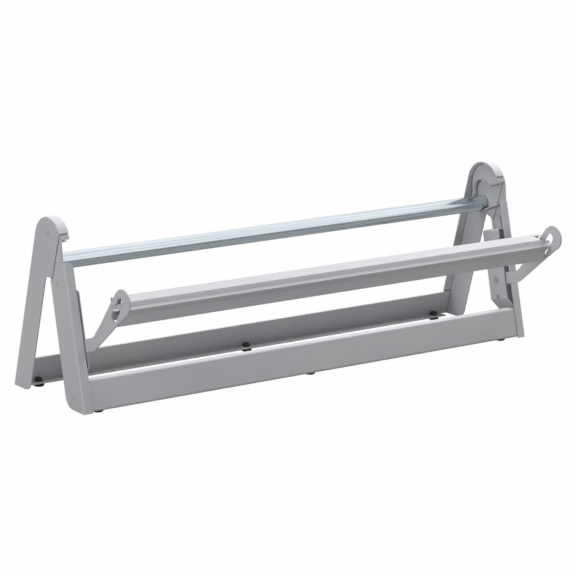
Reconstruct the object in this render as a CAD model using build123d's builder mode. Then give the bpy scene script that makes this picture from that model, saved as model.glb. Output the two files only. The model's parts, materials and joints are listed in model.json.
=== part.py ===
"""Counter-top cutter stand for one roll of gift wrap.

Two sheet-steel A-frames, left and right, are joined by a front and a rear rail. A tube
that carries the roll lies in a cradle in each A-frame's head. A cutter bar hangs on two
swinging arms, in front of the roll.

Millimetres. X runs along the rails, Y to the rear, Z up from the counter. Profiles are
drawn in side planes as (y, z), with y measured from the middle of the feet. The part's
origin is on the counter, in the middle of its bounding box.
"""

from build123d import *

import math
import os

os.makedirs("parts", exist_ok=True)

# ---------------------------------------------------------------- driving dimensions

overall_length = 990.0        # outer face to outer face of the two A-frames
sheet = 2.0                   # steel sheet of legs, rails, brackets and cradles
touch_gap = 0.3               # between curved faces that pass close by each other
running_gap = 0.05            # radial play of a pin in its hole

# the head that tops both legs of an A-frame
head_y = -15.2
head_z = 288.7
head_radius = 47.2

# rear leg, the outer one: its rear flange runs over the head as a rim
rear_lean = 16.86             # degrees from upright
rear_strip = 55.0             # depth of the leg below the head
rear_rim_width = 19.0
rear_rim_cut = 30.5           # angle above the front where the rim ends
lobe_tip = (-27.0, 228.5)
leg_foot = 6.0                # height of the legs' lower ends
leg_corner = 21.0
lobe_corner = 8.0
rim_bend = 1.6                # rounding of the fold between the rear cheek and its rim

# front leg: flush with the rear leg, but set in by one sheet where the rear leg laps it
front_lean = 13.5
front_reach = 46.9            # from the head's centre to the front flange's face
front_depth_low = 58.5        # depth of the leg at the counter and at the head
front_depth_high = 54.0
front_flange_width = 18.0
front_flange_top = 264.0
front_flange_corner = 10.0
front_rim_cut = 16.4
front_rim_step = 25.5         # angle where the front leg's rim steps in under the rear leg's
front_head_cut = 10.0         # angle above the front where the front leg's round head begins
front_head_tail = 160.0       # and the angle where it ends, at the rear
lap_groove = 3.0              # open groove between the rear leg's edge and the step
front_leg_corner = 26.0
front_fold = 2.0              # inside radius of the fold between the cheek and the flange
front_fold_land = 0.5         # flat between the fold and the cheek's step at the throat
cheek_tail = (14.0, 238.0)    # rear corner of the front leg's hidden head

# rod and its cradle
rod_y = 0.0
rod_z = 251.0
rod_radius = 15.0
rod_wall = 1.5
rod_end_gap = 1.5             # from the rod's end to the cheek
cradle_standoff = 5.0         # from the cheek to the cradle's plate
cradle_lip = 4.0
cradle_drawn = 1.6            # the plate's lip and skirt are drawn thinner than the sheet
slot_half_width = 17.3
arch_y = -3.0                 # centre of the slot's upper arch
arch_z = 278.3
arch_radius = 20.3
entry_high = (-80.0, 304.3)   # the slot's way in, from the front
entry_low = (-80.0, 267.0)
entry_end_y = -12.0
cradle_front = -57.0          # the plate's front corner, in the throat
cradle_front_high = 262.0
cradle_lap = 12.0             # from the hidden head's rear corner down to the leg's rear edge
entry_fall_high = -0.27       # slopes of the way in's upper and lower edges
entry_fall_low = -0.383

# feet and rails
foot_height = 7.0
foot_radius = 9.8
foot_neck = 4.0
foot_head = 7.0
foot_head_height = 8.0
foot_edge = 1.5
foot_hole = 1.3               # blind hole in the foot's domed head
foot_hole_depth = 3.0
foot_inset = 42.6             # from the stand's end to the outer feet
front_foot_setback = 26.4     # from the front legs' front face to the feet's middle
rear_foot_setback = 14.8      # from the rear legs' rear face to the feet's middle
rail_bend = 2.0               # inside radius of a rail's bends
rail_side_gap = 0.3           # between a rail's end and the cheek
front_rail_top = 62.0
front_rail_lip = 14.0
front_rail_floor = 38.0
rear_rail_top = 56.0
rear_rail_lip = 9.0
rear_rail_floor = 27.0
rail_cope = 3.0               # a rail's lips stop short of the leg's flange

# guide bracket, along the front leg (measured up the leg's front face)
bracket_standoff = 25.0       # from the cheek to the bracket's inner face
bracket_setback = 7.5         # front edge, behind the leg's front face
bracket_top = 222.0
bracket_slant_top = 86.0
bracket_slant_low = 58.0
bracket_low_end = 18.0
bracket_tab_top = 245.5
tab_half_width = 8.0
bracket_bend = 1.5
bracket_corner = 6.0
bracket_low_corner = 22.0
arm_slot = 7.5                # width of the slot in the bracket's top, where the arm comes through
rivet_radius = 2.4
rivet_head = 4.0
rivet_head_height = 1.2
bracket_rivet_high = (-44.0, 225.0)
bracket_rivet_low = (-92.0, 29.0)
head_rivet_rise = 21.0        # above the head's centre

# cutter: arms, bar, blade
pivot_y = -72.0
pivot_z = 112.0
pivot_radius = 3.0
pivot_collar = 5.0
pivot_head = 5.5
pivot_head_height = 1.8
pivot_tail_height = 1.6
arm_gap = 2.0                 # between the bracket's face and the arm
arm_thickness = 3.0
arm_foot_radius = 13.0
arm_foot_lean = math.radians(106.3)   # across the arm, at its foot
arm_head_at = (-230.5, 221.0)
arm_head_radius = 23.5
arm_chin = (-244.0, 202.5)    # where the arm's lower edge meets the round head
arm_crown = (-212.0, 237.5)
arm_elbow_low = (-134.6, 118.5)
arm_elbow_high = (-131.0, 141.0)
arm_shaft_low = (-216.5, 182.2)
arm_shaft_high = (-156.8, 169.2)
arm_neck = (-193.0, 214.7)
elbow_radius = 22.0
swing = 64.0                  # degrees, from the photograph's place to the rod
stop_tab_width = 6.0
stop_tab_height = 8.0
stop_low = 120.0              # up the front leg's face

window_low = (-203.5, 191.5)  # centres of the window's two round ends
window_high = (-222.5, 220.0)
window_radius = 8.8

bar_sheet = 1.5
bar_bend = 1.0
bar_back = (-186.0, 225.0)
bar_brow = (-207.5, 214.8)
bar_groove = (-210.5, 207.0)
bar_nose = (-220.5, 206.0)
bar_chin = (-221.5, 202.5)
bar_belly = (-211.0, 192.0)
bar_waist = (-209.5, 184.0)
bar_foot = (-212.5, 175.5)
bar_hem = (-208.0, 174.5)
bar_back_hem = (-195.0, 184.0)
bar_top_inset = 7.0           # the top face ends short of the arm, at its brow
bar_mitre = 10.0              # how much shorter it is at its back edge
tongue_top = (-208.7, 212.5)
tongue_front = (-218.5, 206.2)
tongue_past_arm = 8.0
blade_thickness = 1.0
blade_edge = 5.0              # how far the blade stands past its shelf
blade_start = 2.2             # from the groove's corner
blade_bevel = 2.5

# over-centre spring beside each arm
anchor_y = -79.0
anchor_z = 80.0
anchor_radius = 2.3
anchor_tail = 1.5             # past the spring's middle
stud_radius = 1.2
stud_reach = 10.0             # from the arm's pivot to the spring's stud
spring_wire = 1.2
spring_radius = 3.9           # centre of the wire
spring_turns = 17
eye_radius = 3.2              # centre of the wire in the end loops
spring_gap = 8.5              # from the arm to the spring's middle
spring_leg = 3.0

# ---------------------------------------------------------------- worked out from them

head_rivet_at = (head_y, head_z + head_rivet_rise)
rim_step_angle = math.degrees(sheet / head_radius)
side_outer = overall_length / 2                 # rear leg's outer face
side_middle = side_outer - sheet                # inner face of both legs' cheeks
side_inner = side_middle - sheet                # inner face of the front leg's lapped head
nested_radius = head_radius - sheet - touch_gap
cradle_outer = side_inner - cradle_standoff     # cradle plate's outer face
cradle_inner = cradle_outer - sheet
rod_half_length = side_inner - rod_end_gap
spin_up = math.radians(front_lean)
spin_back = math.radians(rear_lean)
front_fold_reach = front_fold + sheet + front_fold_land     # from the leg's face to the step
seat_z = rod_z - rod_radius - touch_gap + slot_half_width
bracket_inner = side_middle - bracket_standoff
bracket_face = bracket_inner + sheet            # the bracket's outer face
arm_inner = bracket_face + arm_gap
arm_outer = arm_inner + arm_thickness
bar_top_half = arm_inner - bar_top_inset
spring_x = arm_outer + spring_gap
foot_x = side_outer - foot_inset
both_sides = {"left": -1, "right": 1}


def rear_edge(z, inset=0.0):
    """y of the rear leg's rear face at height z, or of a line inset from it."""
    return head_y + (head_radius - inset) / math.cos(spin_back) + (head_z - z) * math.tan(spin_back)


def front_edge(z, inset=0.0):
    """y of the front leg's front face at height z, or of a line inset from it."""
    return head_y - (front_reach - inset) / math.cos(spin_up) - (head_z - z) * math.tan(spin_up)


def front_leg_back(z):
    """y of the front leg's rear edge: the leg is a little deeper at the counter."""
    depth = front_depth_low + (front_depth_high - front_depth_low) * z / head_z
    return front_edge(z, inset=depth)


def on_head(radius, angle):
    """Point on a circle about the head's centre; 0 is the front, 90 the top."""
    turn = math.radians(angle)
    return (head_y - radius * math.cos(turn), head_z + radius * math.sin(turn))


arm_front = arm_head_at[0] - arm_head_radius
middle_y = (arm_front + rear_edge(leg_foot)) / 2
front_foot_y = front_edge(foot_height) + front_foot_setback
rear_foot_y = rear_edge(foot_height) - rear_foot_setback


def side_plane(x):
    """Plane across the stand at x, with the profile's (y, z) as its own axes."""
    return Plane(origin=(x, -middle_y, 0), x_dir=(0, 1, 0), z_dir=(1, 0, 0))


def along_front_leg():
    """Plane with x across and its second axis up the front leg's front face."""
    origin = (0, front_edge(0) - middle_y, 0)
    return Plane(origin=origin, x_dir=(1, 0, 0), z_dir=(0, -math.cos(spin_up), math.sin(spin_up)))


def bent_sheet(points, thickness, bend):
    """Section of a bent sheet, to the left of a line of points, inside bend radius `bend`."""
    offset_points = []
    turns = []
    for index, point in enumerate(points):
        before = Vector(*points[max(index - 1, 0)])
        after = Vector(*points[min(index + 1, len(points) - 1)])
        here = Vector(*point)
        arrive = (here - before).normalized() if index > 0 else (after - here).normalized()
        leave = (after - here).normalized() if index < len(points) - 1 else arrive
        mitre = (arrive + leave).normalized()
        reach = thickness / mitre.dot(arrive)
        offset_points.append((here.X - mitre.Y * reach, here.Y + mitre.X * reach))
        turns.append(arrive.X * leave.Y - arrive.Y * leave.X)
    corners = turns[1:-1]
    near_radii = [bend + thickness if turn > 0 else bend for turn in corners]
    far_radii = [bend if turn > 0 else bend + thickness for turn in corners]
    with BuildSketch() as section:
        with BuildLine():
            FilletPolyline(*points, radius=near_radii)
            FilletPolyline(*offset_points, radius=far_radii)
            Line(points[0], offset_points[0])
            Line(points[-1], offset_points[-1])
        make_face()
    return section.sketch


def save(piece, name):
    """Label a finished piece and write it to its own file."""
    piece.part.label = name
    export_step(piece.part, f"parts/{name}.step")


# ---------------------------------------------------------------- rear legs

def rim_band(outer_radius, inner_radius, cut_angle, rear_angle):
    """Section of a rim over the head, between two radii and two angles."""
    middle_angle = (cut_angle + rear_angle) / 2
    with BuildSketch() as band:
        with BuildLine():
            ThreePointArc(on_head(outer_radius, cut_angle), on_head(outer_radius, middle_angle),
                          on_head(outer_radius, rear_angle))
            Line(on_head(outer_radius, rear_angle), on_head(inner_radius, rear_angle))
            ThreePointArc(on_head(inner_radius, rear_angle), on_head(inner_radius, middle_angle),
                          on_head(inner_radius, cut_angle))
            Line(on_head(inner_radius, cut_angle), on_head(outer_radius, cut_angle))
        make_face()
    return band.sketch


def make_rear_leg(name, side):
    tangent_angle = 180 - rear_lean
    strip_top = lobe_tip[1]
    with BuildPart() as rear_leg:
        # cheek: a strip, a round head, and a lobe in front of the strip
        with BuildSketch(side_plane(side * side_middle)):
            with BuildLine():
                Line((rear_edge(leg_foot), leg_foot), on_head(head_radius, tangent_angle))
                ThreePointArc(on_head(head_radius, tangent_angle), on_head(head_radius, 90),
                              on_head(head_radius, rear_rim_cut))
                Polyline(on_head(head_radius, rear_rim_cut), lobe_tip,
                         (rear_edge(strip_top, rear_strip), strip_top),
                         (rear_edge(leg_foot, rear_strip), leg_foot),
                         (rear_edge(leg_foot), leg_foot))
            make_face()
        extrude(amount=side * sheet)
        corners = rear_leg.edges().filter_by(Axis.X)
        lobe_edge = corners.sort_by_distance((side * side_outer, lobe_tip[0] - middle_y, lobe_tip[1]))[0]
        fillet(lobe_edge, lobe_corner)
        corners = rear_leg.edges().filter_by(Axis.X)
        low_corner = (side * side_outer, rear_edge(leg_foot, rear_strip) - middle_y, leg_foot)
        fillet(corners.sort_by_distance(low_corner)[0], leg_corner)
        # rim: over the head, and on down the back as a flange
        with BuildSketch(side_plane(side * side_outer)):
            add(rim_band(head_radius, head_radius - sheet, rear_rim_cut, tangent_angle))
            with BuildLine():
                Polyline(on_head(head_radius, tangent_angle), (rear_edge(leg_foot), leg_foot),
                         (rear_edge(leg_foot, sheet), leg_foot),
                         on_head(head_radius - sheet, tangent_angle),
                         on_head(head_radius, tangent_angle))
            make_face()
        extrude(amount=-side * rear_rim_width)
        # hole for the rivet that joins the two heads
        with BuildSketch(side_plane(side * side_outer)):
            with Locations(head_rivet_at):
                Circle(rivet_radius)
        extrude(amount=-side * 2 * sheet, mode=Mode.SUBTRACT)
        rim_edges = rear_leg.edges().filter_by_position(Axis.X, side * side_outer, side * side_outer)
        rim_edges = [edge for edge in rim_edges if on_rear_rim(edge.center())]
        fillet(rim_edges, rim_bend)
    save(rear_leg, name)


def on_rear_rim(point):
    """Whether a point lies on the outer face of the rear leg's rim or flange."""
    y = point.Y + middle_y
    on_line = abs(y - rear_edge(point.Z)) < sheet / 2 and point.Z < head_z + head_radius / 2
    reach = math.dist((y, point.Z), (head_y, head_z))
    return on_line or (abs(reach - head_radius) < sheet / 2 and y > head_y - head_radius)


for name, side in both_sides.items():
    make_rear_leg(f"rear_leg_{name}", side)


# ---------------------------------------------------------------- front legs

def front_cheek_outline():
    """Side view of the front leg's cheek, from the counter to the head."""
    rear_low = cheek_tail[1] - cradle_lap
    with BuildSketch() as outline:
        with BuildLine():
            Polyline(on_head(head_radius, front_head_cut),
                     (front_edge(front_flange_top, front_fold_reach), front_flange_top),
                     (front_edge(leg_foot, front_fold_reach), leg_foot),
                     (front_leg_back(leg_foot), leg_foot),
                     (front_leg_back(rear_low), rear_low),
                     cheek_tail,
                     on_head(nested_radius, front_head_tail))
            ThreePointArc(on_head(nested_radius, front_head_tail), on_head(nested_radius, 90),
                          on_head(nested_radius, front_rim_step))
            Line(on_head(nested_radius, front_rim_step), on_head(head_radius, front_rim_step))
            middle_angle = (front_rim_step + front_head_cut) / 2
            ThreePointArc(on_head(head_radius, front_rim_step), on_head(head_radius, middle_angle),
                          on_head(head_radius, front_head_cut))
        cheek = make_face()
        low_corner = (front_leg_back(leg_foot), leg_foot)
        fillet(cheek.vertices().sort_by_distance(low_corner)[0], front_leg_corner)
    return outline.sketch


def lapped_outline(grow):
    """Side view of what the rear leg's head laps, grown by a margin."""
    rim_end = on_head(head_radius, rear_rim_cut)
    top = head_z + head_radius
    with BuildSketch() as outline:
        with BuildLine():
            Polyline(rim_end, lobe_tip, (head_y + head_radius, lobe_tip[1]),
                     (head_y + head_radius, top), (rim_end[0], top), close=True)
        make_face()
        offset(amount=grow, kind=Kind.INTERSECTION)
    return outline.sketch


def front_flange(side):
    """Flange across the front leg's front, with its fold; its upper free corner is rounded."""
    low_y = front_edge(leg_foot) - middle_y
    high_y = front_edge(front_flange_top) - middle_y
    up_leg = (0, math.sin(spin_up), math.cos(spin_up))
    across_leg = Plane(origin=(0, low_y, leg_foot), x_dir=(1, 0, 0), z_dir=up_leg)
    free_edge = side * (side_outer - front_flange_width)
    line = [(free_edge, 0), (side * side_outer, 0), (side * side_outer, front_fold_reach)]
    with BuildPart() as flange:
        with BuildSketch(across_leg):
            add(bent_sheet(line[::side], sheet, front_fold))
        extrude(amount=math.dist((low_y, leg_foot), (high_y, front_flange_top)))
        through_sheet = Axis((0, 0, 0), (0, -math.cos(spin_up), math.sin(spin_up)))
        corners = flange.edges().filter_by(through_sheet)
        fillet(corners.sort_by_distance((free_edge, high_y, front_flange_top))[0], front_flange_corner)
    return flange.part


def make_front_leg(name, side):
    cheek = front_cheek_outline()
    lapped = lapped_outline(lap_groove)
    stepped = lapped_outline(lap_groove + sheet)
    nested_inner = nested_radius - sheet
    with BuildPart() as front_leg:
        # cheek: flush, then a step, then set in behind the rear leg's head
        with BuildSketch(side_plane(side * side_middle)):
            add(cheek)
            add(lapped, mode=Mode.SUBTRACT)
        extrude(amount=side * sheet)
        with BuildSketch(side_plane(side * side_inner)):
            add(cheek)
            add(stepped, mode=Mode.INTERSECT)
        extrude(amount=side * sheet)
        add(front_flange(side))
        # rim: flush below the rear leg's rim, then a step, then inside that rim
        with BuildSketch(side_plane(side * side_outer)):
            add(rim_band(head_radius, head_radius - sheet, front_rim_cut, front_rim_step))
        extrude(amount=-side * front_flange_width)
        with BuildSketch(side_plane(side * side_middle)):
            add(rim_band(head_radius, nested_inner, front_rim_step - rim_step_angle, front_rim_step))
            add(rim_band(nested_radius, nested_inner, front_rim_step, front_head_tail))
        extrude(amount=-side * (front_flange_width - sheet))
        with BuildSketch(side_plane(side * side_outer)):
            with Locations(head_rivet_at, bracket_rivet_high, bracket_rivet_low):
                Circle(rivet_radius)
        extrude(amount=-side * 2 * sheet, mode=Mode.SUBTRACT)
    save(front_leg, name)


for name, side in both_sides.items():
    make_front_leg(f"front_leg_{name}", side)


# ---------------------------------------------------------------- rod cradles

def rod_slot(grow=0.0):
    """Opening for the rod: a way in from the front, a seat, and a wider arch above it."""
    seat_reach = slot_half_width + grow
    arch_reach = arch_radius + grow
    entry_top_end = entry_high[1] + (entry_end_y - entry_high[0]) * entry_fall_high
    entry_low_end = entry_low[1] + (entry_end_y - entry_low[0]) * entry_fall_low
    with BuildSketch() as slot:
        with Locations((rod_y, seat_z)):
            Circle(seat_reach)
        with Locations((arch_y, arch_z)):
            Circle(arch_reach)
        with BuildLine():
            Polyline((rod_y + seat_reach, seat_z), (arch_y + arch_reach, arch_z),
                     (arch_y - arch_reach, arch_z), (rod_y - seat_reach, seat_z), close=True)
        make_face()
        with BuildLine():
            Polyline((entry_high[0], entry_high[1] + grow), (entry_end_y, entry_top_end + grow),
                     (entry_end_y, entry_low_end - grow), (entry_low[0], entry_low[1] - grow),
                     close=True)
        make_face()
    return slot.sketch


def cradle_outline():
    """Side view of the cradle's plate, without its slot: it ends in a ledge just under the seat."""
    inside_rim = nested_radius - sheet - touch_gap
    with BuildSketch() as outline:
        with Locations((head_y, head_z)):
            Circle(inside_rim)
        with BuildLine():
            Polyline((head_y - inside_rim, head_z), (cradle_front, cradle_front_high),
                     (rod_y - slot_half_width, seat_z), (rod_y + slot_half_width + sheet, seat_z),
                     (head_y + inside_rim, head_z), close=True)
        make_face()
        with Locations((rod_y, seat_z)):
            Circle(slot_half_width + sheet)
        with BuildLine():
            Polyline((cradle_front, cradle_front_high), (cradle_front, cradle_ledge(cradle_front)),
                     (entry_end_y, cradle_ledge(entry_end_y)), (rod_y, seat_z), close=True)
        make_face()
    return outline.sketch


def cradle_ledge(y):
    """Height of the ledge's underside, one sheet below the slot's way in."""
    return entry_low[1] + (y - entry_low[0]) * entry_fall_low - sheet


def make_rod_cradle(name, side):
    plate = cradle_outline()
    slot = rod_slot()
    wide_slot = rod_slot(grow=cradle_drawn)
    with BuildPart() as cradle:
        with BuildSketch(side_plane(side * cradle_inner)):
            add(plate)
            add(slot, mode=Mode.SUBTRACT)
        extrude(amount=side * sheet)
        # lip round the slot, turned in towards the roll
        with BuildSketch(side_plane(side * cradle_inner)):
            add(wide_slot)
            add(slot, mode=Mode.SUBTRACT)
            add(plate, mode=Mode.INTERSECT)
        extrude(amount=-side * cradle_lip)
        # skirt that stands the plate off the cheek
        with BuildSketch(side_plane(side * cradle_outer)):
            add(plate)
            offset(plate, -cradle_drawn, mode=Mode.SUBTRACT)
            add(slot, mode=Mode.SUBTRACT)
        extrude(amount=side * cradle_standoff)
    save(cradle, name)


for name, side in both_sides.items():
    make_rod_cradle(f"rod_cradle_{name}", side)


with BuildPart() as roll_rod:
    with BuildSketch(side_plane(-rod_half_length)):
        with Locations((rod_y, rod_z)):
            Circle(rod_radius)
            Circle(rod_radius - rod_wall, mode=Mode.SUBTRACT)
    extrude(amount=2 * rod_half_length)
save(roll_rod, "roll_rod")


# ---------------------------------------------------------------- rails and feet

def make_rail(web_low, web_high, floor_depth, lip_depth, facing, half_length, feet_y):
    """Channel along X, open towards `facing` (1 rear, -1 front), with holes for the feet.

    Its web laps the legs' flanges. The floor and the lip stop short of them.
    """
    lip_half_length = side_outer - rear_rim_width - rail_cope
    floor_end = (web_low[0] + facing * floor_depth, web_low[1])
    lip_end = (web_high[0] + facing * lip_depth, web_high[1])
    channel = (floor_end, web_low, web_high, lip_end)
    if facing > 0:
        channel = channel[::-1]
    cut_depth = floor_depth + lip_depth
    bend_depth = sheet + rail_bend
    shade_low = (web_low[0] + facing * bend_depth, web_low[1] - sheet)
    shade_high = (web_high[0] + facing * bend_depth, web_high[1] + sheet)
    with BuildPart() as rail:
        with BuildSketch(side_plane(-half_length)):
            add(bent_sheet(channel, sheet, rail_bend))
        extrude(amount=2 * half_length)
        for end in (-1, 1):
            with BuildSketch(side_plane(end * lip_half_length)):
                with BuildLine():
                    Polyline(shade_low, (shade_low[0] + facing * cut_depth, shade_low[1]),
                             (shade_high[0] + facing * cut_depth, shade_high[1]), shade_high,
                             close=True)
                make_face()
            extrude(amount=end * (half_length - lip_half_length), mode=Mode.SUBTRACT)
        with BuildSketch(Plane.XY):
            with Locations(*((x, feet_y - middle_y) for x in (-foot_x, 0, foot_x))):
                Circle(foot_neck)
        extrude(amount=foot_height + 2 * sheet, mode=Mode.SUBTRACT)
    return rail


front_web_low = (front_edge(foot_height, sheet), foot_height)
front_web_high = (front_edge(front_rail_top, sheet), front_rail_top)
front_rail = make_rail(front_web_low, front_web_high, front_rail_floor, front_rail_lip,
                       1, side_middle - front_fold - rail_side_gap, front_foot_y)
save(front_rail, "front_rail")

rear_web_low = (rear_edge(foot_height, sheet), foot_height)
rear_web_high = (rear_edge(rear_rail_top, sheet), rear_rail_top)
rear_rail = make_rail(rear_web_low, rear_web_high, rear_rail_floor, rear_rail_lip,
                      -1, side_middle - rail_side_gap, rear_foot_y)
save(rear_rail, "rear_rail")


with BuildPart() as foot:
    with BuildSketch(Plane.XZ):
        with BuildLine():
            dome_base = (foot_head, foot_height + sheet + foot_edge)
            dome_top = (foot_hole, foot_height + sheet + foot_head_height)
            Polyline(dome_base, (foot_head, foot_height + sheet), (foot_neck, foot_height + sheet),
                     (foot_neck, foot_height), (foot_radius, foot_height), (foot_radius, foot_edge),
                     (foot_radius - foot_edge, 0), (0, 0), (0, dome_top[1] - foot_hole_depth),
                     (foot_hole, dome_top[1] - foot_hole_depth), dome_top)
            TangentArc(dome_base, dome_top, tangent=(0, 1))
        make_face()
    revolve(axis=Axis.Z)

for row, row_y in {"front": front_foot_y, "rear": rear_foot_y}.items():
    for place, x in {"left": -foot_x, "middle": 0, "right": foot_x}.items():
        with BuildPart() as placed_foot:
            with Locations((x, row_y - middle_y, 0)):
                add(foot.part)
        save(placed_foot, f"foot_{row}_{place}")


# ---------------------------------------------------------------- guide brackets

def leg_point(up, back):
    """(y, z) of a point given up the front leg's front face and back from it."""
    return (front_edge(0) + up * math.sin(spin_up) + back * math.cos(spin_up),
            up * math.cos(spin_up) - back * math.sin(spin_up))


def leg_back(up):
    """How far the front leg's rear edge is behind its front face."""
    low_share = 1 - up * math.cos(spin_up) / head_z
    return front_depth_high + (front_depth_low - front_depth_high) * low_share


def make_guide_bracket(name, side):
    # section up the leg, on the sheet's outer side: tab on the cheek, return, face, slant, tab
    section = [(side_middle, bracket_tab_top), (side_middle, bracket_top - sheet),
               (bracket_face, bracket_top - sheet), (bracket_face, bracket_slant_top),
               (side_middle, bracket_slant_low), (side_middle, bracket_low_end)]
    section = [(side * x, up) for x, up in section]
    if side > 0:
        section = section[::-1]
    top_low = bracket_top - sheet - bracket_bend
    tab_back = (bracket_rivet_high[0] - front_edge(bracket_rivet_high[1])) * math.cos(spin_up)
    with BuildPart() as bracket:
        with BuildSketch(along_front_leg()):
            add(bent_sheet(section, sheet, bracket_bend))
        extrude(amount=-front_depth_low)
        # its outline from the side
        with BuildSketch(side_plane(side * bracket_inner)):
            with BuildLine():
                Polyline(leg_point(bracket_low_end, bracket_setback),
                         leg_point(bracket_top, bracket_setback),
                         leg_point(bracket_top, leg_back(bracket_top)),
                         leg_point(bracket_low_end, leg_back(bracket_low_end)), close=True)
            face_view = make_face()
            for up, back, radius in ((bracket_top, bracket_setback, bracket_corner),
                                     (bracket_top, leg_back(bracket_top), bracket_corner),
                                     (bracket_low_end, leg_back(bracket_low_end), bracket_low_corner)):
                corner = face_view.vertices().sort_by_distance(leg_point(up, back))[0]
                face_view = fillet(corner, radius)
            with BuildLine():
                Polyline(leg_point(bracket_top - bracket_corner, tab_back - tab_half_width),
                         leg_point(bracket_tab_top, tab_back - tab_half_width),
                         leg_point(bracket_tab_top, tab_back + tab_half_width),
                         leg_point(bracket_top - bracket_corner, tab_back + tab_half_width),
                         close=True)
            make_face()
            with Locations(bracket_rivet_high, bracket_rivet_low):
                Circle(rivet_radius, mode=Mode.SUBTRACT)
            with Locations((pivot_y, pivot_z)):
                Circle(pivot_radius + running_gap, mode=Mode.SUBTRACT)
            with Locations((anchor_y, anchor_z)):
                Circle(anchor_radius + running_gap, mode=Mode.SUBTRACT)
        extrude(amount=side * bracket_standoff, mode=Mode.INTERSECT)
        # slot in the top, in front of the tab, where the arm comes through
        with BuildSketch(side_plane(side * bracket_face)):
            with BuildLine():
                slot_end = tab_back - tab_half_width
                Polyline(leg_point(top_low, 0), leg_point(top_low, slot_end),
                         leg_point(bracket_top, slot_end), leg_point(bracket_top, 0), close=True)
            make_face()
        extrude(amount=side * arm_slot, mode=Mode.SUBTRACT)
    save(bracket, name)


for name, side in both_sides.items():
    make_guide_bracket(f"guide_bracket_{name}", side)


# ---------------------------------------------------------------- rivets and pins

def stepped_pin(side, at, steps):
    """Pin along X at (y, z); each step is (near end, far end, radius) from the middle."""
    with BuildPart() as pin:
        for near, far, radius in steps:
            with BuildSketch(side_plane(side * near)):
                with Locations(at):
                    Circle(radius)
            extrude(amount=side * (far - near))
    return pin.part


def rivet(side, at, near, far):
    """Rivet through the sheets between `near` and `far`, with a low head at each end."""
    head = rivet_head_height
    return stepped_pin(side, at, [(near - head, near, rivet_head), (near, far, rivet_radius),
                                  (far, far + head, rivet_head)])


with BuildPart() as head_rivets:
    for side in both_sides.values():
        add(rivet(side, head_rivet_at, side_inner, side_outer))
save(head_rivets, "head_rivets")

with BuildPart() as bracket_rivets:
    for side in both_sides.values():
        for at in (bracket_rivet_high, bracket_rivet_low):
            add(rivet(side, at, side_middle - sheet, side_outer))
save(bracket_rivets, "bracket_rivets")

collar_end = arm_inner - touch_gap
tail_start = arm_outer + touch_gap
for name, side in both_sides.items():
    with BuildPart() as arm_pivot:
        add(stepped_pin(side, (pivot_y, pivot_z), [
            (bracket_inner - pivot_head_height, bracket_inner, pivot_head),
            (bracket_inner, tail_start, pivot_radius),
            (bracket_face, collar_end, pivot_collar),
            (tail_start, tail_start + pivot_tail_height, pivot_collar)]))
    save(arm_pivot, f"arm_pivot_{name}")
    with BuildPart() as spring_anchor:
        add(stepped_pin(side, (anchor_y, anchor_z), [
            (bracket_inner - rivet_head_height, bracket_inner, rivet_head),
            (bracket_inner, spring_x + anchor_tail, anchor_radius),
            (spring_x + anchor_tail, spring_x + anchor_tail + rivet_head_height, eye_radius)]))
    save(spring_anchor, f"spring_anchor_{name}")


# ---------------------------------------------------------------- cutter

spring_line = math.atan2(pivot_z - anchor_z, pivot_y - anchor_y)
stud_angle = spring_line + math.radians(swing / 2)
stud_y = pivot_y + stud_reach * math.cos(stud_angle)
stud_z = pivot_z + stud_reach * math.sin(stud_angle)


def make_cutter_arm(name, side):
    window_length = math.dist(window_low, window_high)
    window_middle = tuple((a + b) / 2 for a, b in zip(window_low, window_high))
    window_turn = math.degrees(math.atan2(window_high[1] - window_low[1],
                                          window_high[0] - window_low[0]))
    foot_low = (pivot_y - arm_foot_radius * math.cos(arm_foot_lean),
                pivot_z - arm_foot_radius * math.sin(arm_foot_lean))
    foot_high = (pivot_y + arm_foot_radius * math.cos(arm_foot_lean),
                 pivot_z + arm_foot_radius * math.sin(arm_foot_lean))
    with BuildPart() as cutter_arm:
        with BuildSketch(side_plane(side * arm_inner)):
            with BuildLine():
                Polyline(foot_low, arm_elbow_low, arm_shaft_low, arm_chin, arm_head_at, arm_crown,
                         arm_neck, arm_shaft_high, arm_elbow_high, foot_high, close=True)
            blank = make_face()
            for elbow in (arm_elbow_low, arm_elbow_high):
                corner = blank.vertices().sort_by_distance(elbow)[0]
                blank = fillet(corner, elbow_radius)
            with Locations((pivot_y, pivot_z)):
                Circle(arm_foot_radius)
            with Locations(arm_head_at):
                Circle(arm_head_radius)
            with Locations((pivot_y, pivot_z)):
                Circle(pivot_radius + running_gap, mode=Mode.SUBTRACT)
            with Locations(window_middle):
                SlotCenterToCenter(window_length, 2 * window_radius, rotation=window_turn,
                                   mode=Mode.SUBTRACT)
        extrude(amount=side * arm_thickness)
        # stop tab, bent out of the arm, that meets the back of the front leg's flange
        with BuildSketch(side_plane(side * arm_outer)):
            with BuildLine():
                Polyline(leg_point(stop_low, sheet + touch_gap),
                         leg_point(stop_low + stop_tab_height, sheet + touch_gap),
                         leg_point(stop_low + stop_tab_height, sheet + touch_gap + arm_thickness),
                         leg_point(stop_low, sheet + touch_gap + arm_thickness), close=True)
            make_face()
        extrude(amount=side * stop_tab_width)
    save(cutter_arm, name)


for name, side in both_sides.items():
    make_cutter_arm(f"cutter_arm_{name}", side)


with BuildPart() as spring_studs:
    for side in both_sides.values():
        add(stepped_pin(side, (stud_y, stud_z), [
            (arm_outer, arm_outer + sheet, stud_radius + touch_gap),
            (arm_outer, spring_x + anchor_tail, stud_radius)]))
save(spring_studs, "spring_studs")


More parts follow.
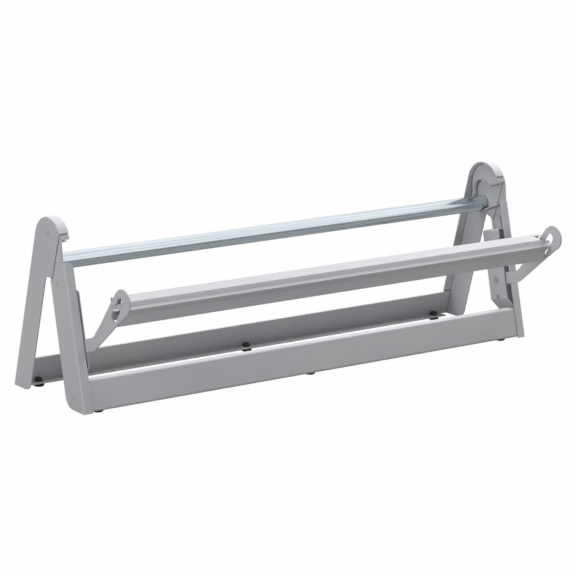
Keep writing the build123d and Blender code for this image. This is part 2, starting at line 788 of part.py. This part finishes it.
with BuildPart() as cutter_bar:
    with BuildSketch(side_plane(-arm_inner)):
        add(bent_sheet([bar_back_hem, bar_back, bar_brow, bar_groove, bar_nose, bar_chin,
                        bar_belly, bar_waist, bar_foot, bar_hem], bar_sheet, bar_bend))
    extrude(amount=2 * arm_inner)
    # mitred ends of the sloping top face
    for side in both_sides.values():
        with BuildSketch(Plane.XY.offset(bar_brow[1] - bar_sheet)):
            with BuildLine():
                Polyline((side * (bar_top_half - bar_mitre), bar_back_hem[0] - middle_y),
                         (side * arm_inner, bar_back_hem[0] - middle_y),
                         (side * arm_inner, bar_brow[0] - bar_sheet - middle_y),
                         (side * bar_top_half, bar_brow[0] - bar_sheet - middle_y), close=True)
            make_face()
        extrude(amount=bar_back[1] - bar_brow[1] + 2 * bar_sheet, mode=Mode.SUBTRACT)
        # tongue through the arm's window
        with BuildSketch(side_plane(side * arm_inner)):
            add(bent_sheet([tongue_top, bar_groove, tongue_front], bar_sheet, bar_bend))
        extrude(amount=side * (arm_thickness + tongue_past_arm))
save(cutter_bar, "cutter_bar")


shelf_run = math.dist(bar_groove, bar_nose)
shelf_y = (bar_nose[0] - bar_groove[0]) / shelf_run
shelf_z = (bar_nose[1] - bar_groove[1]) / shelf_run


def on_shelf(forward, up):
    """Point on the bar's shelf, forward from the groove and up from the shelf."""
    return (bar_groove[0] + shelf_y * forward + shelf_z * up,
            bar_groove[1] + shelf_z * forward - shelf_y * up)


with BuildPart() as cutting_blade:
    with BuildSketch(side_plane(-arm_inner)):
        with BuildLine():
            edge = shelf_run + blade_edge
            Polyline(on_shelf(blade_start, 0), on_shelf(edge, 0),
                     on_shelf(edge - blade_bevel, blade_thickness),
                     on_shelf(blade_start, blade_thickness), close=True)
        make_face()
    extrude(amount=2 * arm_inner)
save(cutting_blade, "cutting_blade")


# ---------------------------------------------------------------- over-centre springs

eye_distance = math.dist((anchor_y, anchor_z), (stud_y, stud_z))
coil_start = eye_radius + spring_leg
coil_length = eye_distance - 2 * coil_start
coil_pitch = coil_length / spring_turns


def coil_point(turn):
    """Centre of the wire after so many turns, the spring standing upright on its lower loop."""
    angle = 2 * math.pi * turn
    return (spring_radius * math.cos(angle), spring_radius * math.sin(angle),
            coil_start + coil_pitch * turn)


with BuildPart() as arm_spring:
    # coil in half turns, then at each end a bar, a leg and a loop
    wire = spring_wire / 2
    with BuildLine() as coil:
        for half_turn in range(2 * spring_turns):
            turn = half_turn / 2
            ThreePointArc(coil_point(turn), coil_point(turn + 0.25), coil_point(turn + 0.5))
    with BuildSketch(Plane(origin=coil.line @ 0, z_dir=coil.line % 0)):
        Circle(wire)
    sweep()
    for eye_z, inward in ((0, 1), (eye_distance, -1)):
        bar_z = eye_z + inward * coil_start
        with BuildSketch(Plane.YZ):
            with Locations((0, bar_z)):
                Circle(wire)
        extrude(amount=spring_radius)
        with BuildSketch(Plane.XY.offset(eye_z + inward * eye_radius)):
            Circle(wire)
        extrude(amount=inward * spring_leg)
        with Locations((0, 0, bar_z), (spring_radius, 0, bar_z)):
            Sphere(wire)
        with Locations(Plane(origin=(0, 0, eye_z), z_dir=(1, 0, 0))):
            Torus(eye_radius, wire)


def least_coil_gap():
    """Least gap between one turn of the wire and the next, measured on points."""
    steps = 90
    gaps = [math.dist(coil_point(0), coil_point(step / steps)) - spring_wire
            for step in range(steps // 2, 3 * steps // 2)]
    return min(gaps)


print("least gap between a spring's turns:", round(least_coil_gap(), 3))
for name, side in both_sides.items():
    low_eye = (side * spring_x, anchor_y - middle_y, anchor_z)
    upward = (0, stud_y - anchor_y, stud_z - anchor_z)
    with BuildPart() as placed_spring:
        with Locations(Plane(origin=low_eye, x_dir=(1, 0, 0), z_dir=upward)):
            add(arm_spring.part)
    save(placed_spring, f"arm_spring_{name}")
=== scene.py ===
"""Finish, finer tube and rivets, lights and camera for the counter-top cutter stand.

Metres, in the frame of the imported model: X along the rails, Y to the rear, Z up.
"""

import json
import math

import bpy
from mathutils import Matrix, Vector


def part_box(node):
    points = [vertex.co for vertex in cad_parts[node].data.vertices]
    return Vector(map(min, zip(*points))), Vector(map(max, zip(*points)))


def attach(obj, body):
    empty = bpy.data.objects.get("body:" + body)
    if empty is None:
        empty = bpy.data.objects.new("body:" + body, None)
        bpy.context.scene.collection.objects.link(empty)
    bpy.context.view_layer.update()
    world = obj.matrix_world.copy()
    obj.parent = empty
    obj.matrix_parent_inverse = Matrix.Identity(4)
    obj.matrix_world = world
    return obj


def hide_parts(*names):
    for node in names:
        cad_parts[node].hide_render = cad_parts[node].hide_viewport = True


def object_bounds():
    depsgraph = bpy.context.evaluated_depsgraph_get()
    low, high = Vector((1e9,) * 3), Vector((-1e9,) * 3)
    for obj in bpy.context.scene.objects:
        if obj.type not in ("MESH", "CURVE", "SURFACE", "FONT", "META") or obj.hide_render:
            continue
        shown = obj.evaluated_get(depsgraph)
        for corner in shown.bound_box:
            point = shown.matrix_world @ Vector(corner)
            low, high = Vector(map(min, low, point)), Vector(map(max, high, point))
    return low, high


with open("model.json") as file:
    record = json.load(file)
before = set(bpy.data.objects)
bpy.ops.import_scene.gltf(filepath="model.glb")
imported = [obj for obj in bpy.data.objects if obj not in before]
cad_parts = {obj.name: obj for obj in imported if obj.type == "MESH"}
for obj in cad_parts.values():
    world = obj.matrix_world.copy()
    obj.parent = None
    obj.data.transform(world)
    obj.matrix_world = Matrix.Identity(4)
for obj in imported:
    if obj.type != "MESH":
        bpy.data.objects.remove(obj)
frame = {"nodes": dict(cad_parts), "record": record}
cad_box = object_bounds()

# ---------------------------------------------------------------- sizes and places

MM = 0.001
SAME_PLANE = 0.01 * MM
SMOOTH_ANGLE = math.radians(35)

# camera, as fitted to the photograph's edges
CAMERA_AT = (-2.5921, -3.7082, 1.1838)
CAMERA_AZIMUTH = math.radians(34.71)
CAMERA_ELEVATION = math.radians(12.80)
CAMERA_LENS = 157.33
CAMERA_SENSOR = 36.0
CAMERA_SHIFT = (0.0006, -0.0007)
CAMERA_REACH = 100.0

# lamps: place, what they point at, width and depth, power
OVERHEAD = {"at": (0.55, 0.50, 2.3), "aim": (0.1, 0.0, 0.2), "size": (3.4, 1.5), "power": 110}
FRONT_FILL = {"at": (-1.2, -3.2, 0.75), "aim": (0.0, 0.0, 0.15), "size": (2.4, 0.9), "power": 34}
LEFT_FILL = {"at": (-3.2, -0.2, 1.3), "aim": (0.0, 0.0, 0.15), "size": (1.6, 1.6), "power": 46}
ROOM_LIGHT = 0.13
FLOOR_HALF = 9.0
FLOOR_MATT = (0.25, 0.25, 0.25)
FLOOR_WHITE = 0.985

# where most values of a noise texture lie: its core, and nearly all of it
NOISE_CORE = (0.35, 0.65)
NOISE_SPAN = (0.3, 0.7)

# painted steel
ENAMEL = (0.500, 0.505, 0.520)
ENAMEL_SHADE = (0.455, 0.462, 0.482)
BARE_STEEL = (0.30, 0.30, 0.31)
# painted shade: the dark colour laid into seams and crevices between sheets
PAINTED_SEAM_SHADE = (0.09, 0.09, 0.09)
PAINT_DUST = (0.62, 0.61, 0.59)
RIVET_PAINT = ((0.40, 0.405, 0.42), (0.46, 0.465, 0.48))
ENAMEL_ROUGH = (0.36, 0.50)
RIVET_ROUGH = (0.38, 0.55)

# bare and plated metal: two tones that the grain mixes, then spots, clouds or wear
ZINC = ((0.55, 0.63, 0.67), (0.80, 0.86, 0.89))
ZINC_CLOUD = (0.84, 0.89, 0.92)
ZINC_ROUGH = (0.13, 0.27)
PLATING = ((0.66, 0.66, 0.65), (0.50, 0.51, 0.53))
PLATING_WORN = (0.80, 0.80, 0.79)
PLATING_ROUGH = (0.28, 0.46)
BLADE = ((0.52, 0.53, 0.54), (0.64, 0.65, 0.66))
BLADE_SPOT = (0.42, 0.40, 0.38)
BLADE_ROUGH = (0.42, 0.56)
SPRING = ((0.30, 0.31, 0.33), (0.48, 0.49, 0.51))
SPRING_ROUGH = (0.26, 0.42)

# rubber feet
RUBBER = ((0.010, 0.010, 0.011), (0.022, 0.022, 0.023))
RUBBER_SCUFF = (0.06, 0.06, 0.06)
RUBBER_DUST = (0.13, 0.125, 0.12)
RUBBER_ROUGH = (0.55, 0.75)

# tube that carries the roll
TUBE_SIDES = 160
TUBE_WALL = 1.5 * MM
TUBE_RIM = 0.45 * MM
TUBE_RIM_STEPS = 3
SHARP_ANGLE = math.radians(60)

# rivets: shank, and a domed head at each end
RIVET_SIDES = 48
SHANK_RADIUS = 2.4 * MM
HEAD_RADIUS = 4.0 * MM
HEAD_HEIGHT = 1.2 * MM
HEAD_ROUNDING = 1.1 * MM
HEAD_STEPS = 6
RIVETED_SHEETS = 4.0 * MM     # the two sheets that every rivet holds


# ---------------------------------------------------------------- node helpers

class Graph:
    """Short ways to add and join nodes in a material's or a group's node tree."""

    def __init__(self, tree):
        self.tree = tree

    def add(self, kind, inputs=None, **settings):
        node = self.tree.nodes.new(kind)
        for name, value in settings.items():
            setattr(node, name, value)
        for name, value in (inputs or {}).items():
            if isinstance(value, bpy.types.NodeSocket):
                self.tree.links.new(value, node.inputs[name])
            else:
                node.inputs[name].default_value = value
        return node

    def noise(self, vector, scale, detail=2.0, roughness=0.5):
        return self.add("ShaderNodeTexNoise", {"Vector": vector, "Scale": scale, "Detail": detail,
                                               "Roughness": roughness}).outputs["Fac"]

    def stretch(self, vector, scale):
        return self.add("ShaderNodeMapping", {"Vector": vector, "Scale": scale}).outputs["Vector"]

    def ramp(self, value, low, high, to_low=0.0, to_high=1.0):
        return self.add("ShaderNodeMapRange", {"Value": value, "From Min": low, "From Max": high,
                                               "To Min": to_low, "To Max": to_high}).outputs["Result"]

    def maths(self, operation, first, second=0.0):
        return self.add("ShaderNodeMath", {0: first, 1: second}, operation=operation).outputs[0]

    def blend(self, factor, first, second):
        node = self.add("ShaderNodeMix", data_type="RGBA")
        for socket, value in ((node.inputs[0], factor), (node.inputs[6], first), (node.inputs[7], second)):
            if isinstance(value, bpy.types.NodeSocket):
                self.tree.links.new(value, socket)
            else:
                socket.default_value = value if isinstance(value, float) else (*value, 1.0)
        return node.outputs[2]


def new_group(name, inputs, outputs):
    """A shader node group with named float inputs and outputs, as its graph and its two ends."""
    tree = bpy.data.node_groups.new(name, "ShaderNodeTree")
    for socket_name, value in inputs.items():
        socket = tree.interface.new_socket(socket_name, in_out="INPUT", socket_type="NodeSocketFloat")
        socket.default_value = value
    for socket_name in outputs:
        tree.interface.new_socket(socket_name, in_out="OUTPUT", socket_type="NodeSocketFloat")
    graph = Graph(tree)
    return graph, graph.add("NodeGroupInput").outputs, graph.add("NodeGroupOutput")


def object_place(graph):
    return graph.add("ShaderNodeTexCoord").outputs["Object"]


def make_edge_wear():
    """Mask of rubbed outer edges, broken up by noise."""
    graph, given, result = new_group("edge_wear", {"Radius": 0.8 * MM, "Patchiness": 60.0, "Amount": 0.5},
                                     ("Mask",))
    rounded = graph.add("ShaderNodeBevel", {"Radius": given["Radius"]}, samples=4).outputs["Normal"]
    flat = graph.add("ShaderNodeNewGeometry").outputs["Normal"]
    agree = graph.add("ShaderNodeVectorMath", {0: rounded, 1: flat}, operation="DOT_PRODUCT")
    edge = graph.ramp(agree.outputs["Value"], 0.995, 0.90)
    patches = graph.ramp(graph.noise(object_place(graph), given["Patchiness"], 4.0, 0.6), 0.46, 0.62)
    worn = graph.maths("MULTIPLY", graph.maths("MULTIPLY", edge, patches), given["Amount"])
    graph.tree.links.new(worn, result.inputs["Mask"])
    return graph.tree


def make_dust():
    """Mask of dust, which lies thickest on faces that look up."""
    graph, given, result = new_group("settled_dust", {"Amount": 0.2, "Scale": 90.0}, ("Mask",))
    normal = graph.add("ShaderNodeNewGeometry").outputs["Normal"]
    up = graph.add("ShaderNodeSeparateXYZ", {"Vector": normal}).outputs["Z"]
    facing_up = graph.ramp(up, 0.35, 0.95)
    cloud = graph.ramp(graph.noise(object_place(graph), given["Scale"], 5.0, 0.65), 0.42, 0.72)
    mask = graph.maths("MULTIPLY", graph.maths("MULTIPLY", facing_up, cloud), given["Amount"])
    graph.tree.links.new(mask, result.inputs["Mask"])
    return graph.tree


def make_painted_seam_shade():
    """Mask of painted shade where two sheets meet, laid on by ambient occlusion over a short reach."""
    graph, given, result = new_group("painted_seam_shade", {"Reach": 3.0 * MM, "Amount": 0.6}, ("Mask",))
    nearby = graph.add("ShaderNodeAmbientOcclusion", {"Distance": given["Reach"]}, samples=8)
    mask = graph.maths("MULTIPLY", graph.ramp(nearby.outputs["AO"], 0.85, 0.45), given["Amount"])
    graph.tree.links.new(mask, result.inputs["Mask"])
    return graph.tree


def make_sprayed_paint():
    """Relief and gloss of sprayed and baked paint: fine orange peel, faint sags, handled patches."""
    graph, given, result = new_group("sprayed_paint", {"Peel": 620.0, "Handling": 7.0},
                                     ("Height", "Gloss", "Tone", "Speck"))
    place = object_place(graph)
    peel = graph.noise(place, given["Peel"], 2.0, 0.45)
    sags = graph.noise(graph.stretch(place, (14.0, 14.0, 5.0)), 1.0, 2.0, 0.5)
    height = graph.maths("ADD", graph.maths("MULTIPLY", peel, 0.35), graph.maths("MULTIPLY", sags, 0.65))
    handled = graph.noise(place, given["Handling"], 5.0, 0.62)
    scuffs = graph.noise(graph.stretch(place, (30.0, 180.0, 180.0)), 1.0, 3.0, 0.6)
    gloss = graph.maths("ADD", graph.maths("MULTIPLY", handled, 0.7), graph.maths("MULTIPLY", scuffs, 0.3))
    specks = graph.ramp(graph.noise(place, 900.0, 1.0, 0.4), 0.70, 0.78)
    graph.tree.links.new(height, result.inputs["Height"])
    graph.tree.links.new(gloss, result.inputs["Gloss"])
    graph.tree.links.new(graph.noise(place, 3.1, 3.0, 0.55), result.inputs["Tone"])
    graph.tree.links.new(specks, result.inputs["Speck"])
    return graph.tree


def make_drawn_lines():
    """Fine lines along X, as left by drawing or grinding."""
    graph, given, result = new_group("drawn_lines", {"Fineness": 1.0}, ("Lines", "Bands"))
    place = object_place(graph)
    fine = graph.add("ShaderNodeVectorMath", {0: place, 1: (3.0, 2400.0, 2400.0)}, operation="MULTIPLY")
    scaled = graph.add("ShaderNodeVectorMath", {0: fine.outputs[0], "Scale": given["Fineness"]},
                       operation="SCALE").outputs[0]
    graph.tree.links.new(graph.noise(scaled, 1.0, 3.0, 0.6), result.inputs["Lines"])
    broad = graph.stretch(place, (1.5, 260.0, 260.0))
    graph.tree.links.new(graph.noise(broad, 1.0, 2.0, 0.5), result.inputs["Bands"])
    return graph.tree


GROUPS = {"edge_wear": make_edge_wear(), "settled_dust": make_dust(), "painted_seam_shade": make_painted_seam_shade(),
          "sprayed_paint": make_sprayed_paint(), "drawn_lines": make_drawn_lines()}


def use(graph, group_name, inputs=None):
    node = graph.add("ShaderNodeGroup", node_tree=GROUPS[group_name])
    for name, value in (inputs or {}).items():
        node.inputs[name].default_value = value
    return node.outputs


def new_material(name):
    """A material with its Principled shader, and the graph to build the rest in."""
    material = bpy.data.materials.new(name)
    material.use_nodes = True
    material.node_tree.nodes.clear()
    graph = Graph(material.node_tree)
    shader = graph.add("ShaderNodeBsdfPrincipled")
    graph.add("ShaderNodeOutputMaterial", {"Surface": shader.outputs["BSDF"]})
    return material, graph, shader


def feed(graph, shader, **values):
    for name, value in values.items():
        socket = shader.inputs[name.replace("_", " ")]
        if isinstance(value, bpy.types.NodeSocket):
            graph.tree.links.new(value, socket)
        else:
            socket.default_value = value


def relief(graph, height, strength, distance):
    return graph.add("ShaderNodeBump", {"Height": height, "Strength": strength,
                                        "Distance": distance}).outputs["Normal"]


# ---------------------------------------------------------------- finishes

def grey_enamel():
    """Baked grey paint of the frame's sheet parts and of the cutter's arms and bar."""
    material, graph, shader = new_material("grey_enamel")
    paint = use(graph, "sprayed_paint")
    wear = use(graph, "edge_wear", {"Radius": 0.7 * MM, "Patchiness": 55.0, "Amount": 0.55})["Mask"]
    dust = use(graph, "settled_dust", {"Amount": 0.10})["Mask"]
    colour = graph.blend(graph.ramp(paint["Tone"], *NOISE_CORE), ENAMEL_SHADE, ENAMEL)
    colour = graph.blend(graph.maths("MULTIPLY", paint["Speck"], 0.18), colour, BARE_STEEL)
    colour = graph.blend(dust, colour, PAINT_DUST)
    colour = graph.blend(wear, colour, BARE_STEEL)
    # painted shade: darkens the paint in seams and crevices where ambient occlusion finds nearby sheets
    colour = graph.blend(use(graph, "painted_seam_shade")["Mask"], colour, PAINTED_SEAM_SHADE)
    rough = graph.ramp(paint["Gloss"], *NOISE_CORE, *ENAMEL_ROUGH)
    feed(graph, shader, Base_Color=colour, Roughness=rough, Coat_Weight=0.05, Coat_Roughness=0.22,
         Normal=relief(graph, paint["Height"], 0.22, 0.25 * MM))
    shader.inputs["Specular IOR Level"].default_value = 0.28
    return material


def painted_rivets():
    """The same paint over rivets, a little darker and more rubbed."""
    material, graph, shader = new_material("painted_rivets")
    paint = use(graph, "sprayed_paint", {"Peel": 900.0, "Handling": 30.0})
    wear = use(graph, "edge_wear", {"Radius": 0.5 * MM, "Patchiness": 300.0, "Amount": 0.8})["Mask"]
    colour = graph.blend(graph.ramp(paint["Tone"], *NOISE_SPAN), *RIVET_PAINT)
    colour = graph.blend(wear, colour, BARE_STEEL)
    rough = graph.ramp(paint["Gloss"], *NOISE_SPAN, *RIVET_ROUGH)
    feed(graph, shader, Base_Color=colour, Roughness=rough,
         Normal=relief(graph, paint["Height"], 0.25, 0.2 * MM))
    return material


def zinc_plate():
    """Bright, faintly blue plating of the tube, with drawn lines along it."""
    material, graph, shader = new_material("zinc_plate")
    lines = use(graph, "drawn_lines")
    bands = graph.ramp(lines["Bands"], *NOISE_CORE)
    colour = graph.blend(bands, *ZINC)
    cloudy = graph.noise(graph.stretch(object_place(graph), (16.0, 40.0, 40.0)), 1.0, 4.0, 0.6)
    colour = graph.blend(graph.ramp(cloudy, 0.5, 0.75, 0.0, 0.35), colour, ZINC_CLOUD)
    rough = graph.ramp(lines["Lines"], *NOISE_SPAN, *ZINC_ROUGH)
    feed(graph, shader, Base_Color=colour, Metallic=1.0, Roughness=rough,
         Normal=relief(graph, lines["Lines"], 0.16, 0.06 * MM))
    return material


def plated_steel():
    """Plating of the pivots, anchors and studs, with fine crystal cells."""
    material, graph, shader = new_material("plated_steel")
    place = object_place(graph)
    cells = graph.add("ShaderNodeTexVoronoi", {"Vector": place, "Scale": 420.0}).outputs["Distance"]
    wear = use(graph, "edge_wear", {"Radius": 0.4 * MM, "Patchiness": 400.0, "Amount": 0.7})["Mask"]
    colour = graph.blend(graph.ramp(cells, 0.1, 0.8), *PLATING)
    colour = graph.blend(wear, colour, PLATING_WORN)
    rough = graph.ramp(graph.noise(place, 260.0, 3.0), *NOISE_SPAN, *PLATING_ROUGH)
    feed(graph, shader, Base_Color=colour, Metallic=1.0, Roughness=rough,
         Normal=relief(graph, cells, 0.10, 0.1 * MM))
    return material


def blade_steel():
    """Ground steel of the blade, dull, with a few spots."""
    material, graph, shader = new_material("blade_steel")
    lines = use(graph, "drawn_lines", {"Fineness": 1.3})
    spots = graph.ramp(graph.noise(object_place(graph), 120.0, 5.0, 0.65), 0.62, 0.72, 0.0, 0.4)
    colour = graph.blend(graph.ramp(lines["Lines"], *NOISE_SPAN), *BLADE)
    colour = graph.blend(spots, colour, BLADE_SPOT)
    rough = graph.ramp(lines["Bands"], *NOISE_SPAN, *BLADE_ROUGH)
    feed(graph, shader, Base_Color=colour, Metallic=1.0, Roughness=rough,
         Normal=relief(graph, lines["Lines"], 0.2, 0.05 * MM))
    return material


def spring_steel():
    """Drawn wire of the springs."""
    material, graph, shader = new_material("spring_steel")
    place = object_place(graph)
    tone = graph.noise(place, 500.0, 3.0, 0.6)
    colour = graph.blend(graph.ramp(tone, *NOISE_CORE), *SPRING)
    rough = graph.ramp(tone, *NOISE_SPAN, *SPRING_ROUGH)
    feed(graph, shader, Base_Color=colour, Metallic=1.0, Roughness=rough,
         Normal=relief(graph, graph.noise(place, 1500.0), 0.1, 0.05 * MM))
    return material


def black_rubber():
    """Rubber of the feet, dusty on top and scuffed at its edges."""
    material, graph, shader = new_material("black_rubber")
    place = object_place(graph)
    grain = graph.noise(place, 1300.0, 3.0, 0.6)
    dust = use(graph, "settled_dust", {"Amount": 0.25, "Scale": 400.0})["Mask"]
    scuffed = use(graph, "edge_wear", {"Radius": 0.6 * MM, "Patchiness": 500.0, "Amount": 0.4})["Mask"]
    colour = graph.blend(graph.ramp(grain, *NOISE_SPAN), *RUBBER)
    colour = graph.blend(scuffed, colour, RUBBER_SCUFF)
    colour = graph.blend(dust, colour, RUBBER_DUST)
    rough = graph.ramp(grain, *NOISE_SPAN, *RUBBER_ROUGH)
    feed(graph, shader, Base_Color=colour, Roughness=rough,
         Normal=relief(graph, grain, 0.3, 0.12 * MM))
    return material


FINISHES = {make.__name__: make() for make in (grey_enamel, painted_rivets, zinc_plate, plated_steel,
                                                blade_steel, spring_steel, black_rubber)}


def finish_cad_nodes():
    for row in frame["record"]["subparts"]:
        piece = frame["nodes"][row["node"]]
        piece.data.materials.clear()
        piece.data.materials.append(FINISHES[row["material_slot"]])


# ---------------------------------------------------------------- pieces modelled here

def along_x(start, end, radius, at, sides, fill="NGON"):
    """Cylinder along X from start to end, its axis at (y, z)."""
    bpy.ops.object.select_all(action="DESELECT")
    bpy.ops.mesh.primitive_cylinder_add(vertices=sides, radius=radius, depth=abs(end - start),
                                        end_fill_type=fill, location=((start + end) / 2, *at),
                                        rotation=(0, math.pi / 2, 0))
    bpy.ops.object.transform_apply(location=True, rotation=True, scale=True)
    return bpy.context.object


def round_rim(piece, x, radius):
    """Round the rim that lies in the plane at x."""
    bpy.ops.object.mode_set(mode="EDIT")
    bpy.ops.mesh.select_mode(type="EDGE")
    bpy.ops.mesh.select_all(action="DESELECT")
    bpy.ops.object.mode_set(mode="OBJECT")
    places = [vertex.co.x for vertex in piece.data.vertices]
    for edge in piece.data.edges:
        edge.select = all(abs(places[index] - x) < SAME_PLANE for index in edge.vertices)
    bpy.ops.object.mode_set(mode="EDIT")
    bpy.ops.mesh.bevel(offset=radius, segments=HEAD_STEPS, affect="EDGES")
    bpy.ops.object.mode_set(mode="OBJECT")


def apply_all(piece):
    for modifier in list(piece.modifiers):
        bpy.ops.object.modifier_apply(modifier=modifier.name)


def make_tube():
    low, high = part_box("roll_rod")
    at = ((low.y + high.y) / 2, (low.z + high.z) / 2)
    tube = along_x(low.x, high.x, (high.z - low.z) / 2, at, TUBE_SIDES, fill="NOTHING")
    tube.name = "drawn_tube"
    wall = tube.modifiers.new("wall", "SOLIDIFY")
    wall.thickness = TUBE_WALL
    wall.offset = -1.0
    wall.use_even_offset = True
    rims = tube.modifiers.new("rims", "BEVEL")
    rims.width = TUBE_RIM
    rims.segments = TUBE_RIM_STEPS
    rims.limit_method = "ANGLE"
    rims.angle_limit = SHARP_ANGLE
    apply_all(tube)
    bpy.ops.object.shade_smooth_by_angle(angle=SMOOTH_ANGLE)
    tube.data.materials.append(FINISHES["zinc_plate"])
    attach(tube, "roll_rod")
    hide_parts("roll_rod")


def make_rivets(name, node, places):
    """Domed rivets through both A-frames, at the same (y, z) places on each side."""
    outer_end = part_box(node)[1].x
    shoulder = outer_end - HEAD_HEIGHT
    inner = shoulder - RIVETED_SHEETS
    pieces = []
    for at in places:
        for side in (-1, 1):
            pieces.append(along_x(side * inner, side * shoulder, SHANK_RADIUS, at, RIVET_SIDES))
            for root, end in ((shoulder, outer_end), (inner, inner - HEAD_HEIGHT)):
                head = along_x(side * root, side * end, HEAD_RADIUS, at, RIVET_SIDES)
                round_rim(head, side * end, HEAD_ROUNDING)
                pieces.append(head)
    bpy.ops.object.select_all(action="DESELECT")
    for piece in pieces:
        piece.select_set(True)
    bpy.context.view_layer.objects.active = pieces[0]
    bpy.ops.object.join()
    rivets = bpy.context.object
    rivets.name = name
    bpy.ops.object.transform_apply(location=True, rotation=True, scale=True)
    bpy.ops.object.shade_smooth_by_angle(angle=SMOOTH_ANGLE)
    rivets.data.materials.append(FINISHES["painted_rivets"])
    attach(rivets, "frame")
    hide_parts(node)


def end_places(node):
    """(y, z) of a node's highest and rearmost rivet, and of its lowest and foremost one."""
    low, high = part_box(node)
    return ((high.y - HEAD_RADIUS, high.z - HEAD_RADIUS), (low.y + HEAD_RADIUS, low.z + HEAD_RADIUS))


# ---------------------------------------------------------------- stage, lamps, camera

def paint_stage(material, whiteness):
    """Diffuse floor that looks white to the camera, and still takes a faint shadow."""
    graph = Graph(material.node_tree)
    material.node_tree.nodes.clear()
    matt = graph.add("ShaderNodeBsdfDiffuse", {"Color": (*FLOOR_MATT, 1.0)})
    white = graph.add("ShaderNodeEmission", {"Color": (1.0, 1.0, 1.0, 1.0), "Strength": 1.0})
    path = graph.add("ShaderNodeLightPath").outputs
    seen = graph.maths("MAXIMUM", path["Is Camera Ray"], path["Is Transmission Ray"])
    share = graph.maths("MULTIPLY", seen, whiteness)
    surface = graph.add("ShaderNodeMixShader", {0: share, 1: matt.outputs[0], 2: white.outputs[0]})
    graph.add("ShaderNodeOutputMaterial", {"Surface": surface.outputs[0]})


def add_floor():
    bpy.ops.mesh.primitive_plane_add(size=2 * FLOOR_HALF, location=(0, 0, cad_box[0][2]))
    floor = bpy.context.object
    floor.name = "floor"
    bpy.ops.object.transform_apply(location=True, rotation=True, scale=True)
    material = bpy.data.materials.new("floor_white")
    material.use_nodes = True
    paint_stage(material, FLOOR_WHITE)
    floor.data.materials.append(material)


def light_room():
    """White to the camera and to glossy faces, and an even soft light for everything else."""
    world = bpy.data.worlds.new("room")
    bpy.context.scene.world = world
    world.use_nodes = True
    world.node_tree.nodes.clear()
    graph = Graph(world.node_tree)
    path = graph.add("ShaderNodeLightPath").outputs
    seen = graph.maths("MAXIMUM", path["Is Camera Ray"], path["Is Glossy Ray"])
    strength = graph.ramp(seen, 0.0, 1.0, ROOM_LIGHT, 1.0)
    glow = graph.add("ShaderNodeBackground", {"Color": (1.0, 1.0, 1.0, 1.0), "Strength": strength})
    graph.add("ShaderNodeOutputWorld", {"Surface": glow.outputs[0]})


def add_lamp(name, at, aim, size, power):
    bpy.ops.object.light_add(type="AREA", location=at)
    lamp = bpy.context.object
    lamp.name = name
    lamp.rotation_euler = (Vector(aim) - Vector(at)).to_track_quat("-Z", "Y").to_euler()
    lamp.data.shape = "RECTANGLE"
    lamp.data.size, lamp.data.size_y = size
    lamp.data.energy = power
    lamp.visible_glossy = False


def add_camera():
    flat = math.cos(CAMERA_ELEVATION)
    view = Vector((math.sin(CAMERA_AZIMUTH) * flat, math.cos(CAMERA_AZIMUTH) * flat,
                   -math.sin(CAMERA_ELEVATION)))
    bpy.ops.object.camera_add(location=CAMERA_AT, rotation=view.to_track_quat("-Z", "Y").to_euler())
    camera = bpy.context.object
    camera.name = "photo_camera"
    camera.data.lens = CAMERA_LENS
    camera.data.sensor_width = CAMERA_SENSOR
    camera.data.shift_x, camera.data.shift_y = CAMERA_SHIFT
    camera.data.clip_end = CAMERA_REACH
    bpy.context.scene.camera = camera


bpy.ops.object.select_all(action="DESELECT")
finish_cad_nodes()
make_tube()
make_rivets("domed_head_rivets", "head_rivets", end_places("head_rivets")[:1])
make_rivets("domed_bracket_rivets", "bracket_rivets", end_places("bracket_rivets"))
add_floor()
light_room()
add_lamp("overhead", **OVERHEAD)
add_lamp("front_fill", **FRONT_FILL)
add_lamp("left_fill", **LEFT_FILL)
add_camera()
bpy.context.scene.view_settings.view_transform = "Standard"
